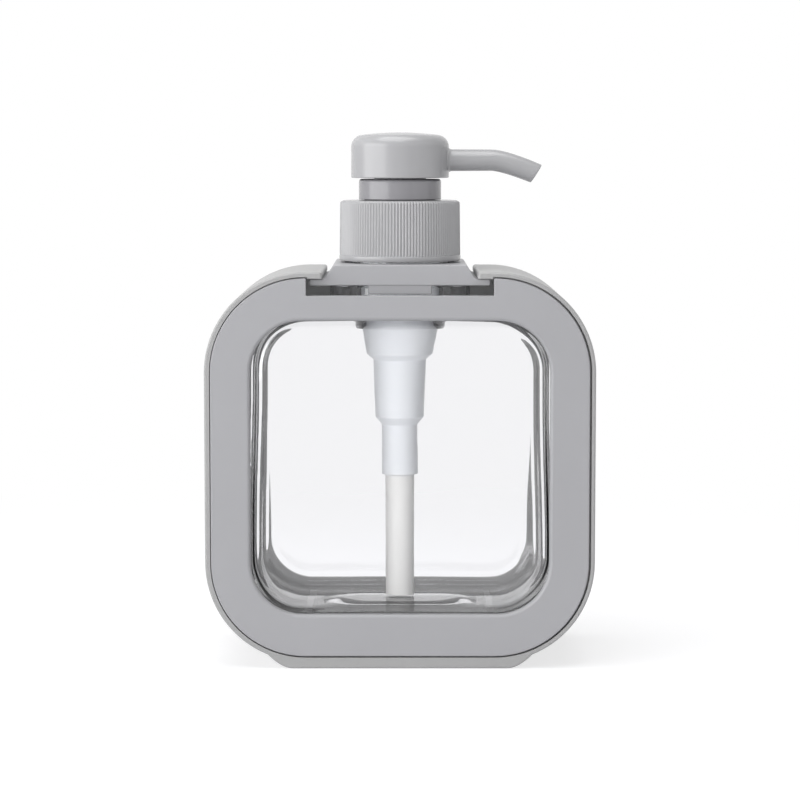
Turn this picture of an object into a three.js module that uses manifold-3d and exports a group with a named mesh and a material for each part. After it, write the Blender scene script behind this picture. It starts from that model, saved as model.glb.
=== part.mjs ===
// A pump dispenser: a clear bottle held in a grey plastic frame, under a lock-down lotion pump.
// Lengths are in millimetres. +Z is up, the front faces -Y, the spout points along +X and the
// origin is under the middle of the foot. The pump head is in its locked-down place.

import * as THREE from 'three';
import { mergeVertices } from 'three/addons/utils/BufferGeometryUtils.js';
import Module from 'manifold-3d';

const wasm = await Module();
wasm.setup();

// Gaps between pieces
const restGap = 0.2; // between two faces that rest on each other
const slideGap = 0.25; // beside a round piece that slides or turns in a bore
const threadGap = 0.35; // between the crests of two mating threads
const seamGap = 0.35; // the dark seam round the front ring
const stopGap = 0.3; // left at the ends of a travel
const valveGap = 0.15; // between a ball at rest and its seat

// Frame: hoop, rear border, foot and front ring
const hoopWidth = 114;
const hoopHeight = 114.3;
const hoopDepth = 57;
const hoopCorner = 29.3;
const hoopWall = 1.9;
const hoopLip = 1.35; // strip of the hoop's wall that shows round the front ring
const footDrop = 1.9; // how far the foot stands below the hoop
const footFlat = 63; // length of the foot's flat underside
const footEndRun = 7.3; // length of each rounded end of the foot
const ringThickness = 2.2;
const frontBorder = 11.6; // from the ring's sides to its window
const frontBorderEnds = 12.4; // the same above and below the window
const rearBorder = 14.9;
const windowLip = 1.7; // rounding round each window
const notchWidth = 54.6;
const notchDepth = 5.1; // below the ring's top edge

// Bridge over the bottle's shoulder
const bridgeRise = 1.9; // above the hoop's top
const bridgeTopWidth = 39;
const bridgeSlopeRun = 2.4;
const bridgeFillet = 1.2; // where each slope meets its tab
const bridgeTab = 1.9; // thickness of the tabs
const bridgeEndGap = 1; // from each tab to the side of the notch
const bridgeSetback = 1.3; // behind the ring's inner face
const bridgeWall = 2;
const bridgeLugWidth = 18.5; // of the lug under the front wall, and the one under the rear wall
const bridgeLugSetback = 0.4; // behind that wall's face
const mouthGap = 0.6; // from the foot of each slope to the hoop's end

// Bottle
const bottleSideGap = 8.4; // from the bottle's sides to the hoop
const bottleBaseGap = 8.7; // from the bottle's base to the hoop, filled by the two rests
const bottleFaceGap = 0.3;
const bottleEdge = 8.6; // rounding of the front and rear edges
const bottleInnerEdge = 6.2; // the same inside
const bottleWall = 2;
const bottleFloor = 2.6;
const pushUpHeight = 1.3; // of the low plateau in the base
const pushUpWidth = 48;
const pushUpDepth = 34;
const pushUpCorner = 13;
const pushUpSlope = 7; // width of its sloping border
const restSpacing = 54; // between the two ribs of the hoop that the bottle stands on
const restThickness = 2;
const restReach = 42; // from the rear border towards the front
const bossRadius = 21;
const bossHeight = 5.8;
const neckRadius = 14.8;
const neckBore = 13;
const neckRootDrop = 6.2; // how far the thick neck root hangs below the ceiling
const neckRootFlare = 8; // how far that root spreads from the bore
const neckRootCurve = 0.8; // 1 for a straight flare, less for one that bulges down
const neckThreadHeight = 1;
const threadPitch = 4;
const neckThreadTurns = 1.6;

// Closure
const closureGap = 0.8; // above the bridge
const closureHeight = 17.7;
const closureRoof = 1.6;
const closureWall = 1;
const closureThreadHeight = 0.55;
const closureThreadTurns = 1.3;
const closureRim = 1.6; // plain band under the ribs
const closureRound = 0.8; // rounding of the top edge
const ribCount = 120;
const ribHeight = 0.4;

// Pump housing, gasket and dip tube
const flangeThickness = 1.5;
const gasketThickness = 1;
const gasketMargin = 0.4; // between the gasket and the edges of the neck's rim
const cupGap = 0.5; // between the housing's cup and the neck's bore
const cupMouthWall = 1.8;
const cupTaper = 1.2; // from the flange to the toe
const cupDepth = 44.2; // from the flange's top to the lower end of the toe
const toeTaper = 1.5;
const toeHeight = 7;
const cupStep = 1.6; // height of the slope between cup and chamber
const housingWall = 1.1;
const chamberBore = 6.5;
const chamberWall = 1.35;
const chamberTaper = 0.55;
const chamberSpare = 0.4; // left above the piston at the top of its stroke
const chamberFloor = 0.5; // above the slope between chamber and nipple
const nippleStep = 2.3; // height of that slope
const nippleWall = 0.85;
const dipTubeRadius = 4.3;
const dipTubeWall = 0.9;
const dipTubeClearance = 1.1; // from its cut end to the plateau in the bottle's base
const dipTubeSeat = 9.8; // length held in the nipple

// Valves
const inletBallRadius = 3.2;
const inletSeatBore = 2.2;
const inletSeatWeb = 1.2;
const inletLift = 1;
const ballPocketGap = 1; // beside the inlet ball
const cageThickness = 1;
const cageHoleRadius = 1;
const cageHoleCount = 6;
const outletBallRadius = 2.5;
const outletLift = 0.8;

// Stem, piston, spring and collar
const stroke = 12;
const stemRadius = 4.5;
const stemBore = 1.9;
const spigotRadius = 3.4; // lower end of the stem, inside the piston
const plugFlange = 1;
const plugFlangeRadius = 4.6;
const plugLength = 5;
const plugBore = 1;
const pistonHeight = 4.4;
const pistonWaist = 0.8; // how far the piston is drawn in between its two lips
const springWire = 1.2;
const springRadius = 7.4; // to the middle of the wire
const springTurns = 8;
const springSeatThickness = 1.2;
const collarShoulder = 1.8; // how far the collar stands out over its sleeve
const collarHeight = 6.1;
const collarRound = 0.9;
const collarSleeve = 5.6; // length below the collar
const collarWeb = 1.4;
const sleeveWall = 1.5;
const lockThreadHeight = 0.45;
const lockPitch = 3;
const lockTurns = 1.4;
const wiperThickness = 1;

// Head and spout
const headGap = 0.3; // above the collar, locked down
const headRadius = 14.6;
const headHeight = 13.5;
const headWall = 1.55;
const headRound = 3.6; // rounding between the crown and the skirt
const crownRise = 0.7;
const headPostRadius = 5;
const slotHalfWidth = 8;
const slotMargin = 0.3; // above the nozzle
const hubGap = 0.4; // above the wiper
const hubFloor = 0.7; // between the stem's socket and the nozzle's bore
const hubRoof = 1.2;
const nozzleRise = 5.25; // from the head's lower edge to the nozzle's middle
const nozzleRootRadius = 3.35;
const nozzleTipRadius = 3.12;
const nozzleBore = 1.9;
const nozzleStraight = 24; // from the pump's axis
const nozzleReach = 40.75;
const nozzleDrop = 4.15;
const nozzleTipAngle = THREE.MathUtils.degToRad(21);
const nozzleCutAngle = THREE.MathUtils.degToRad(10);

// How finely round shapes are drawn
const cornerSteps = 4; // to each eighth of a turn
const lipSteps = 2;
const edgeSteps = 5;
const rootSteps = 6;
const roundSteps = 3;
const largeSides = 40;
const smallSides = 24;
const tubeSides = 12;
const wireSides = 5;
const wireSteps = 8; // to each turn of the spring
const threadSteps = 16; // to each turn of a thread
const overshoot = 1; // how far a cutting shape runs past the piece that it cuts

// Places in the frame, worked out from the sizes above
const frontFace = -hoopDepth / 2;
const rearFace = hoopDepth / 2;
const hoopTop = footDrop + hoopHeight;
const hoopUnderside = hoopTop - hoopWall;
const hoopMouth = bridgeTopWidth + 2 * (bridgeSlopeRun + mouthGap);
const ringInset = hoopLip + seamGap;
const notchFloor = hoopTop - ringInset - notchDepth;
const bridgeTop = hoopTop + bridgeRise;
const bridgeTabTop = hoopUnderside - restGap;
const bridgeUnderside = bridgeTabTop - bridgeTab;
const bridgeDepth = hoopDepth - 2 * (ringThickness + bridgeSetback);

// Places on the bottle and the closure
const bottleWidth = hoopWidth - 2 * (hoopWall + bottleSideGap);
const bottleDepth = hoopDepth - 2 * (ringThickness + bottleFaceGap);
const bottleCorner = hoopCorner - hoopWall - bottleSideGap;
const bottleBottom = footDrop + hoopWall + bottleBaseGap;
const bossTop = bridgeUnderside - restGap;
const bottleTop = bossTop - bossHeight;
const neckThreadRadius = neckRadius + neckThreadHeight;
const closureBottom = bridgeTop + closureGap;
const closureTop = closureBottom + closureHeight;
const closureCeiling = closureTop - closureRoof;
const closureBore = neckThreadRadius + threadGap + closureThreadHeight;
const closureBody = closureBore + closureWall;
const rimRadius = closureBody + ribHeight;

// Places in the pump, from the flange down and then from the collar up
const flangeTop = closureCeiling - restGap;
const flangeBottom = flangeTop - flangeThickness;
const flangeRadius = neckRadius - gasketMargin;
const gasketTop = flangeBottom - restGap;
const neckTop = gasketTop - gasketThickness - restGap;
const cupRadius = neckBore - cupGap;
const cupBore = cupRadius - cupMouthWall;
const toeRadius = cupRadius - cupTaper;
const cupFloor = flangeTop - cupDepth;
const cupLedge = cupFloor + housingWall;
const pistonTop = cupLedge - chamberSpare - stroke;
const pistonBottom = pistonTop - pistonHeight;
const plugBottom = pistonBottom - restGap - plugFlange;
const cageBottom = plugBottom - stopGap - cageThickness;
const chamberStep = cageBottom - restGap - chamberFloor;
const ballPocket = inletBallRadius + ballPocketGap;
const inletBallHeight = cageBottom - restGap - inletLift - inletBallRadius;
const inletSeat = inletBallHeight - valveGap - Math.sqrt(inletBallRadius ** 2 - inletSeatBore ** 2);
const dipTubeTop = inletSeat - inletSeatWeb - restGap;
const housingBottom = dipTubeTop - dipTubeSeat;
const socketBore = dipTubeRadius + slideGap;
const nippleRadius = socketBore + nippleWall;
const collarBottom = closureTop + restGap;
const collarTop = collarBottom + collarHeight;
const sleeveRadius = cupBore - restGap;
const collarRadius = sleeveRadius + collarShoulder;
const lockBore = sleeveRadius - sleeveWall;
const webBottom = collarBottom - collarSleeve;
const webTop = webBottom + collarWeb;
const springSeatTop = webBottom - stopGap - stroke;
const springSeatBottom = springSeatTop - springSeatThickness;
const wiperTop = webTop + restGap + wiperThickness;

// Places in the head
const headBottom = collarTop + headGap;
const headTop = headBottom + headHeight;
const skirtBore = headRadius - headWall;
const nozzleHeight = headBottom + nozzleRise;
const slotTop = nozzleHeight + nozzleRootRadius + slotMargin;
const hubRadius = lockBore - 2 * lockThreadHeight - threadGap;
const hubBottom = wiperTop + hubGap;
const hubCeiling = nozzleHeight - nozzleBore - hubFloor;
const hubTop = nozzleHeight + nozzleBore + hubRoof;
const stemTop = hubCeiling - restGap;
const outletRise = Math.sqrt(outletBallRadius ** 2 - stemBore ** 2); // of the ball's middle over its seat
const outletBallHeight = hubCeiling - outletRise - valveGap - outletLift;
const outletSeat = outletBallHeight - outletRise - valveGap;
const outletPocket = outletBallRadius + 2 * slideGap;

// A point of a profile: distance from the pump's axis, and height
function at(radius, height) {
  return new THREE.Vector2(radius, height);
}

// Points on an arc of a profile, from one angle to another, in degrees
function arc(centre, radius, from, to, steps = roundSteps) {
  const points = [];
  for (let i = 0; i <= steps; i += 1) {
    const angle = THREE.MathUtils.degToRad(from + ((to - from) * i) / steps);
    points.push(at(centre.x + radius * Math.cos(angle), centre.y + radius * Math.sin(angle)));
  }
  return points;
}

// A closed body with shared corners, without triangles that have no area, facing out
function solid(geometry) {
  geometry.deleteAttribute('normal');
  geometry.deleteAttribute('uv');
  const merged = mergeVertices(geometry, 1e-4);
  const corners = merged.attributes.position.array;
  const index = merged.index.array;
  const triangles = [];
  let volume = 0;
  for (let i = 0; i < index.length; i += 3) {
    const [p, q, r] = index.subarray(i, i + 3);
    if (p !== q && q !== r && r !== p) {
      const a = new THREE.Vector3().fromArray(corners, 3 * p);
      const b = new THREE.Vector3().fromArray(corners, 3 * q);
      const c = new THREE.Vector3().fromArray(corners, 3 * r);
      volume += a.dot(b.cross(c));
      triangles.push(p, q, r);
    }
  }
  if (volume < 0) {
    triangles.reverse();
  }
  const mesh = new wasm.Mesh({
    numProp: 3,
    vertProperties: new Float32Array(corners),
    triVerts: new Uint32Array(triangles),
  });
  return new wasm.Manifold(mesh);
}

function geometryOf(body) {
  const mesh = body.getMesh();
  const geometry = new THREE.BufferGeometry();
  geometry.setAttribute('position', new THREE.BufferAttribute(mesh.vertProperties, 3));
  geometry.setIndex(new THREE.BufferAttribute(mesh.triVerts, 1));
  return geometry;
}

// A body turned round the pump's axis; the profile closes on itself unless it starts on the axis
function turned(profile, sides = smallSides) {
  const points = profile[0].x === 0 ? profile : [...profile, profile[0]];
  return solid(new THREE.LatheGeometry(points, sides).rotateX(Math.PI / 2));
}

function cylinder(radius, bottom, top, sides = smallSides) {
  return turned([at(0, bottom), at(radius, bottom), at(radius, top), at(0, top)], sides);
}

function block(halfWidth, yFrom, yTo, bottom, top) {
  const box = new THREE.BoxGeometry(2 * halfWidth, yTo - yFrom, top - bottom);
  return solid(box.translate(0, (yFrom + yTo) / 2, (bottom + top) / 2));
}

// A front-view outline drawn through the depth from one y to another
function throughDepth(outline, yFrom, yTo) {
  const settings = { depth: yTo - yFrom, bevelEnabled: false, curveSegments: cornerSteps };
  const geometry = new THREE.ExtrudeGeometry(outline, settings);
  return solid(geometry.rotateX(Math.PI / 2).translate(0, yTo, 0));
}

// A body skinned over a row of rings with equal numbers of points, with flat ends
function skinned(rings) {
  const count = rings[0].length;
  const index = [];
  for (let row = 0; row + 1 < rings.length; row += 1) {
    for (let i = 0; i < count; i += 1) {
      const near = row * count + i;
      const next = row * count + ((i + 1) % count);
      index.push(near, next, near + count, next, next + count, near + count);
    }
  }
  const last = (rings.length - 1) * count;
  for (let i = 1; i + 1 < count; i += 1) {
    index.push(0, i + 1, i, last, last + i, last + i + 1);
  }
  const geometry = new THREE.BufferGeometry().setFromPoints(rings.flat());
  geometry.setIndex(index);
  return solid(geometry);
}

// A helical ridge on a wall round the pump's axis; reach is positive outwards, negative inwards
function threadRidge(wall, reach, pitch, turns, bottom) {
  const steps = Math.round(threadSteps * turns);
  const root = wall - Math.sign(reach) * 0.4;
  const fade = threadSteps / 6;
  const rings = [];
  for (let i = 0; i <= steps; i += 1) {
    const angle = (2 * Math.PI * i) / threadSteps;
    const middle = bottom + (pitch * i) / threadSteps;
    const rise = Math.min(1, (i + 0.4) / fade, (steps - i + 0.4) / fade);
    const crest = wall + reach * rise;
    const section = [[root, -0.3], [crest, -0.12], [crest, 0.12], [root, 0.3]];
    rings.push(section.map(([radius, offset]) => {
      const height = middle + offset * pitch;
      return new THREE.Vector3(radius * Math.cos(angle), radius * Math.sin(angle), height);
    }));
  }
  return skinned(rings);
}

// A rectangle with round corners, centred on the axis
function roundedOutline(width, bottom, top, corner) {
  const across = width / 2 - corner;
  const low = bottom + corner;
  const high = top - corner;
  const outline = new THREE.Shape();
  outline.moveTo(across, bottom);
  outline.absarc(across, low, corner, -Math.PI / 2, 0);
  outline.absarc(across, high, corner, 0, Math.PI / 2);
  outline.absarc(-across, high, corner, Math.PI / 2, Math.PI);
  outline.absarc(-across, low, corner, Math.PI, 1.5 * Math.PI);
  return outline;
}

// The hoop's outline, moved in at its sides and at its ends
function frameOutline(inset, endInset = inset) {
  const corner = hoopCorner - Math.max(inset, endInset);
  const width = hoopWidth - 2 * inset;
  return roundedOutline(width, footDrop + endInset, hoopTop - endInset, corner);
}

function ringAt(outline, y) {
  const points = outline.getPoints(cornerSteps);
  if (points[0].distanceTo(points[points.length - 1]) < 1e-6) {
    points.pop();
  }
  return points.map((p) => new THREE.Vector3(p.x, y, p.y));
}

// Cuts a window with a rounded lip through a border; side is -1 at the front and 1 at the rear
function windowCut(border, endBorder, side) {
  const face = (side * hoopDepth) / 2;
  const outlineAt = (widen) => frameOutline(ringInset + border - widen, ringInset + endBorder - widen);
  const rings = [ringAt(outlineAt(windowLip), face + side * overshoot)];
  for (let i = 0; i <= lipSteps; i += 1) {
    const angle = (Math.PI / 2) * (i / lipSteps);
    const widen = windowLip * (1 - Math.sin(angle));
    rings.push(ringAt(outlineAt(widen), face - side * windowLip * (1 - Math.cos(angle))));
  }
  rings.push(ringAt(outlineAt(0), face - side * (ringThickness + overshoot)));
  return skinned(rings);
}

// The foot's front view, with its upper edge inside the hoop's outline
function footOutline() {
  const flat = footFlat / 2;
  const end = flat + footEndRun;
  const along = Math.max(0, end - (hoopWidth / 2 - hoopCorner));
  const meeting = footDrop + hoopCorner - Math.sqrt(hoopCorner ** 2 - along ** 2);
  const bend = flat + 0.45 * footEndRun;
  const outline = new THREE.Shape();
  outline.moveTo(-flat, 0);
  outline.lineTo(flat, 0);
  outline.quadraticCurveTo(bend, 0, end, meeting);
  outline.lineTo(end, meeting + hoopWall);
  outline.lineTo(-end, meeting + hoopWall);
  outline.lineTo(-end, meeting);
  outline.quadraticCurveTo(-bend, 0, -flat, 0);
  return outline;
}

function buildRearFrame() {
  const front = frontFace - overshoot;
  const rear = rearFace + overshoot;
  const above = hoopTop + overshoot;
  const innerFace = rearFace - ringThickness;
  const tray = throughDepth(frameOutline(0), frontFace, rearFace)
    .add(throughDepth(footOutline(), frontFace, rearFace))
    .subtract(throughDepth(frameOutline(hoopWall), front, innerFace));
  const endsKept = block(notchWidth / 2 - seamGap, front - overshoot, 0, notchFloor, above);
  const rebateFloor = frontFace + ringThickness + seamGap;
  const rebate = throughDepth(frameOutline(hoopLip), front, rebateFloor).subtract(endsKept);
  const mouth = block(hoopMouth / 2, front, rear, notchFloor, above);
  const rearNotch = block(notchWidth / 2, innerFace - overshoot, rear, notchFloor, hoopUnderside);
  const restFoot = footDrop + hoopWall / 2;
  const restRear = innerFace + ringThickness / 2;
  const rest = block(restThickness / 2, innerFace - restReach, restRear, restFoot, bottleBottom - restGap);
  return tray
    .add(rest.translate([-restSpacing / 2, 0, 0]))
    .add(rest.translate([restSpacing / 2, 0, 0]))
    .subtract(rebate)
    .subtract(windowCut(rearBorder, rearBorder, 1))
    .subtract(mouth)
    .subtract(rearNotch);
}

function buildFrontRing() {
  const plate = throughDepth(frameOutline(ringInset), frontFace, frontFace + ringThickness);
  const notch = block(notchWidth / 2, frontFace - overshoot, 0, notchFloor, hoopTop);
  return plate.subtract(windowCut(frontBorder, frontBorderEnds, -1)).subtract(notch);
}

function bridgeOutline() {
  const top = bridgeTopWidth / 2;
  const foot = top + bridgeSlopeRun;
  const tab = notchWidth / 2 - bridgeEndGap;
  const filletTop = bridgeTabTop + bridgeFillet;
  const slopeAtFillet = foot - (bridgeFillet * bridgeSlopeRun) / (bridgeTop - bridgeTabTop);
  const outline = new THREE.Shape();
  outline.moveTo(-tab, bridgeUnderside);
  outline.lineTo(tab, bridgeUnderside);
  outline.lineTo(tab, bridgeTabTop);
  outline.lineTo(foot + bridgeFillet, bridgeTabTop);
  outline.quadraticCurveTo(foot, bridgeTabTop, slopeAtFillet, filletTop);
  outline.lineTo(top, bridgeTop);
  outline.lineTo(-top, bridgeTop);
  outline.lineTo(-slopeAtFillet, filletTop);
  outline.quadraticCurveTo(-foot, bridgeTabTop, -foot - bridgeFillet, bridgeTabTop);
  outline.lineTo(-tab, bridgeTabTop);
  return outline;
}

function buildNeckBridge() {
  const halfDepth = bridgeDepth / 2;
  const inside = halfDepth - bridgeWall;
  const hollow = block(bridgeTopWidth / 2 - bridgeWall, -inside, inside, 0, bridgeTop - bridgeWall);
  const neckHole = cylinder(neckThreadRadius + 2 * slideGap, 0, bridgeTop + overshoot, largeSides);
  const lugFoot = notchFloor + restGap;
  const lugTop = bridgeUnderside + bridgeTab / 2;
  const lug = block(bridgeLugWidth / 2, inside, halfDepth - bridgeLugSetback, lugFoot, lugTop);
  return throughDepth(bridgeOutline(), -halfDepth, halfDepth)
    .subtract(hollow)
    .subtract(neckHole)
    .add(lug)
    .add(lug.mirror([0, 1, 0]));
}

// The bottle's body, or its hollow, skinned from back to front with rounded edges
function bottleBody(inset, floor, edge) {
  const halfDepth = bottleDepth / 2 - inset;
  const corner = bottleCorner - inset;
  const half = [];
  for (let i = 0; i <= edgeSteps; i += 1) {
    const angle = (Math.PI / 2) * (i / edgeSteps);
    const shrink = edge * (1 - Math.sin(angle));
    const width = bottleWidth - 2 * (inset + shrink);
    const bottom = bottleBottom + floor + shrink;
    const outline = roundedOutline(width, bottom, bottleTop - inset - shrink, corner - shrink);
    half.push({ outline, y: halfDepth - edge * (1 - Math.cos(angle)) });
  }
  const back = half.map(({ outline, y }) => ringAt(outline, y));
  const front = half.map(({ outline, y }) => ringAt(outline, -y)).reverse();
  return skinned([...back, ...front]);
}

// The plateau that pushes up the base, or with an inset the dent under it
function pushUp(inset, bottom) {
  const foot = bottleBottom + bottleFloor - inset;
  const levelAt = (height, shrink) => {
    const side = pushUpDepth / 2 - shrink;
    const outline = roundedOutline(pushUpWidth - 2 * shrink, -side, side, pushUpCorner - shrink);
    return ringAt(outline, 0).map((p) => new THREE.Vector3(p.x, p.z, height));
  };
  return skinned([levelAt(bottom, 0), levelAt(foot, 0), levelAt(foot + pushUpHeight, pushUpSlope)]);
}

// The thick root of the neck, hanging below the bottle's ceiling and flaring out into it
function neckRoot(lip, ceiling, top) {
  const flare = [];
  for (let i = 0; i <= rootSteps; i += 1) {
    const share = i / rootSteps;
    flare.push(at(neckBore + neckRootFlare * share, lip + (ceiling - lip) * share ** neckRootCurve));
  }
  const rim = neckBore + neckRootFlare;
  return turned([at(0, lip), ...flare, at(rim, top), at(0, top)], largeSides);
}

function buildBottle() {
  const ceiling = bottleTop - bottleWall;
  const lip = ceiling - neckRootDrop;
  const room = bottleBody(bottleWall, bottleFloor, bottleInnerEdge)
    .subtract(neckRoot(lip, ceiling, bottleTop - bottleWall / 2))
    .subtract(pushUp(0, bottleBottom));
  const threadBottom = neckTop - threadPitch * (neckThreadTurns + 0.7);
  return bottleBody(0, 0, bottleEdge)
    .add(cylinder(bossRadius, ceiling, bossTop, largeSides))
    .add(cylinder(neckRadius, ceiling, neckTop, largeSides))
    .add(threadRidge(neckRadius, neckThreadHeight, threadPitch, neckThreadTurns, threadBottom))
    .subtract(room)
    .subtract(pushUp(bottleFloor, bottleBottom - overshoot))
    .subtract(cylinder(neckBore, lip - overshoot, neckTop + overshoot, largeSides));
}

function buildClosure() {
  const valley = closureBody;
  const star = [];
  for (let i = 0; i < 2 * ribCount; i += 1) {
    const angle = (Math.PI * i) / ribCount;
    const radius = i % 2 ? valley : rimRadius;
    star.push(at(radius * Math.cos(angle), radius * Math.sin(angle)));
  }
  const ribBottom = closureBottom + closureRim / 2;
  const ribTop = closureTop - closureRound;
  const settings = { depth: ribTop - ribBottom, bevelEnabled: false };
  const ribs = solid(new THREE.ExtrudeGeometry(new THREE.Shape(star), settings).translate(0, 0, ribBottom));
  const rim = cylinder(rimRadius + ribHeight / 4, closureBottom, closureBottom + closureRim, largeSides);
  const crown = turned(
    [
      at(0, ribTop - closureRound),
      at(valley - closureRound, ribTop - closureRound),
      ...arc(at(valley - closureRound, ribTop), closureRound * 0.95, 0, 90),
      at(0, ribTop + closureRound),
    ],
    largeSides,
  );
  const threadBottom = closureBottom + threadPitch;
  return ribs
    .add(rim)
    .add(crown)
    .subtract(cylinder(closureBore, closureBottom - overshoot, closureCeiling, largeSides))
    .subtract(cylinder(sleeveRadius + 2 * slideGap, closureCeiling - overshoot, closureTop + overshoot))
    .add(threadRidge(closureBore, -closureThreadHeight, threadPitch, closureThreadTurns, threadBottom));
}

function buildNeckGasket() {
  const bottom = gasketTop - gasketThickness;
  const inner = neckBore + gasketMargin;
  return turned([
    at(inner, bottom),
    at(flangeRadius, bottom),
    at(flangeRadius, gasketTop),
    at(inner, gasketTop),
  ]);
}

function buildPumpHousing() {
  const chamberRadius = chamberBore + chamberWall;
  const pocketTop = cageBottom - restGap;
  const seatBottom = inletSeat - inletSeatWeb;
  return turned([
    at(socketBore, housingBottom),
    at(nippleRadius, housingBottom),
    at(nippleRadius, chamberStep - nippleStep),
    at(chamberRadius - chamberTaper, chamberStep),
    at(chamberRadius, cupFloor - cupStep),
    at(toeRadius - toeTaper, cupFloor),
    at(toeRadius, cupFloor + toeHeight),
    at(cupRadius, flangeBottom),
    at(flangeRadius, flangeBottom),
    at(flangeRadius, flangeTop),
    at(cupBore, flangeTop),
    at(cupBore, webBottom - restGap),
    at(toeRadius - housingWall, cupFloor + toeHeight),
    at(toeRadius - toeTaper - housingWall, cupLedge),
    at(chamberBore, cupLedge),
    at(chamberBore, pocketTop),
    at(ballPocket, pocketTop),
    at(ballPocket, inletSeat),
    at(inletSeatBore, inletSeat),
    at(inletSeatBore, seatBottom),
    at(socketBore, seatBottom),
  ]);
}

function buildDipTube() {
  const bottom = bottleBottom + bottleFloor + pushUpHeight + dipTubeClearance;
  const inner = dipTubeRadius - dipTubeWall;
  return turned([
    at(inner, bottom),
    at(dipTubeRadius, bottom),
    at(dipTubeRadius, dipTubeTop),
    at(inner, dipTubeTop),
  ]);
}

function buildBallCage() {
  const cageTop = cageBottom + cageThickness;
  const holeRing = (ballPocket + stemBore) / 2;
  let cage = cylinder(chamberBore - slideGap, cageBottom, cageTop);
  for (let i = 0; i < cageHoleCount; i += 1) {
    const angle = (2 * Math.PI * i) / cageHoleCount;
    const hole = cylinder(cageHoleRadius, cageBottom - overshoot, cageTop + overshoot, 8);
    cage = cage.subtract(hole.translate([holeRing * Math.cos(angle), holeRing * Math.sin(angle), 0]));
  }
  return cage;
}

function buildBall(radius, height) {
  return solid(new THREE.SphereGeometry(radius, 12, 8).rotateX(Math.PI / 2).translate(0, 0, height));
}

function buildStem() {
  const seatRadius = springRadius + springWire / 2;
  return turned([
    at(stemBore, pistonBottom),
    at(spigotRadius, pistonBottom),
    at(spigotRadius, pistonTop + restGap),
    at(stemRadius, pistonTop + restGap),
    at(stemRadius, springSeatBottom),
    at(seatRadius, springSeatBottom),
    at(seatRadius, springSeatTop),
    at(stemRadius, springSeatTop),
    at(stemRadius, stemTop),
    at(outletPocket, stemTop),
    at(outletPocket, outletSeat),
    at(stemBore, outletSeat),
  ]);
}

function buildStemPlug() {
  const shankBottom = plugBottom + plugFlange;
  const shank = stemBore - slideGap;
  return turned([
    at(plugBore, plugBottom),
    at(plugFlangeRadius, plugBottom),
    at(plugFlangeRadius, shankBottom),
    at(shank, shankBottom),
    at(shank, shankBottom + plugLength),
    at(plugBore, shankBottom + plugLength),
  ]);
}

function buildPiston() {
  const bore = spigotRadius + slideGap;
  const lip = chamberBore - slideGap;
  const lipHeight = pistonHeight / 4;
  return turned([
    at(bore, pistonBottom),
    at(lip, pistonBottom),
    at(lip, pistonBottom + lipHeight),
    at(lip - pistonWaist, pistonBottom + 1.5 * lipHeight),
    at(lip - pistonWaist, pistonTop - 1.5 * lipHeight),
    at(lip, pistonTop - lipHeight),
    at(lip, pistonTop),
    at(bore, pistonTop),
  ]);
}

// The spring's wire; the least gap between its turns is measured between points on its middle line
function buildReturnSpring() {
  const bottom = cupLedge + restGap + springWire / 2;
  const top = springSeatBottom - restGap - springWire / 2;
  const steps = wireSteps * springTurns;
  const middles = [];
  const rings = [];
  for (let i = 0; i <= steps; i += 1) {
    const angle = (2 * Math.PI * i) / wireSteps;
    const height = bottom + ((top - bottom) * i) / steps;
    const outward = new THREE.Vector3(Math.cos(angle), Math.sin(angle), 0);
    const middle = outward.clone().multiplyScalar(springRadius).setZ(height);
    const ring = [];
    for (let side = 0; side < wireSides; side += 1) {
      const turn = (2 * Math.PI * side) / wireSides;
      const point = middle.clone().addScaledVector(outward, (springWire / 2) * Math.cos(turn));
      ring.push(point.setZ(height + (springWire / 2) * Math.sin(turn)));
    }
    middles.push(middle);
    rings.push(ring);
  }
  let leastGap = Infinity;
  for (let i = 0; i < middles.length; i += 1) {
    for (let j = i + wireSteps / 2; j < middles.length; j += 1) {
      leastGap = Math.min(leastGap, middles[i].distanceTo(middles[j]) - springWire);
    }
  }
  console.log(`return_spring: least gap between turns ${leastGap.toFixed(2)} mm`);
  return skinned(rings);
}

function buildStemWiper() {
  const bottom = webTop + restGap;
  const inner = stemRadius + slideGap;
  const outer = lockBore - lockThreadHeight - slideGap;
  return turned([at(inner, bottom), at(outer, bottom), at(outer, wiperTop), at(inner, wiperTop)]);
}

function buildLockCollar() {
  const stemHole = stemRadius + 2 * slideGap;
  const body = turned(
    [
      at(stemHole, webBottom),
      at(sleeveRadius, webBottom),
      at(sleeveRadius, collarBottom),
      at(collarRadius, collarBottom),
      ...arc(at(collarRadius - collarRound, collarTop - collarRound), collarRound, 0, 90),
      at(lockBore, collarTop),
      at(lockBore, webTop),
      at(stemHole, webTop),
    ],
    largeSides,
  );
  const threadBottom = wiperTop + lockPitch / 2;
  return body.add(threadRidge(lockBore, -lockThreadHeight, lockPitch, lockTurns, threadBottom));
}

// The head's outside, or its hollow, as a solid with a domed crown
function headForm(radius, round, bottom, top) {
  const roundStart = radius - round;
  const shoulder = top - crownRise - round;
  const halfway = roundStart / 2;
  return turned(
    [
      at(0, bottom),
      at(radius, bottom),
      ...arc(at(roundStart, shoulder), round, 0, 80),
      at(halfway, top - crownRise / 4),
      at(0, top),
    ],
    largeSides,
  );
}

// The head's wall, from the crown to the skirt's lower edge
function headWalls() {
  const hollow = headForm(skirtBore, headRound - headWall, headBottom - overshoot, headTop - headWall);
  return headForm(headRadius, headRound, headBottom, headTop).subtract(hollow);
}

// A block over the slot in the skirt, reaching out along +X
function slotBlock(inset) {
  const span = block(slotHalfWidth - inset, 0, 2 * headRadius, headBottom - overshoot, slotTop - inset);
  return span.rotate([0, 0, -90]);
}

function buildHeadShell() {
  const post = cylinder(headPostRadius, hubTop + restGap, headTop - headWall / 2);
  return headWalls().add(post).subtract(slotBlock(0));
}

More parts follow.
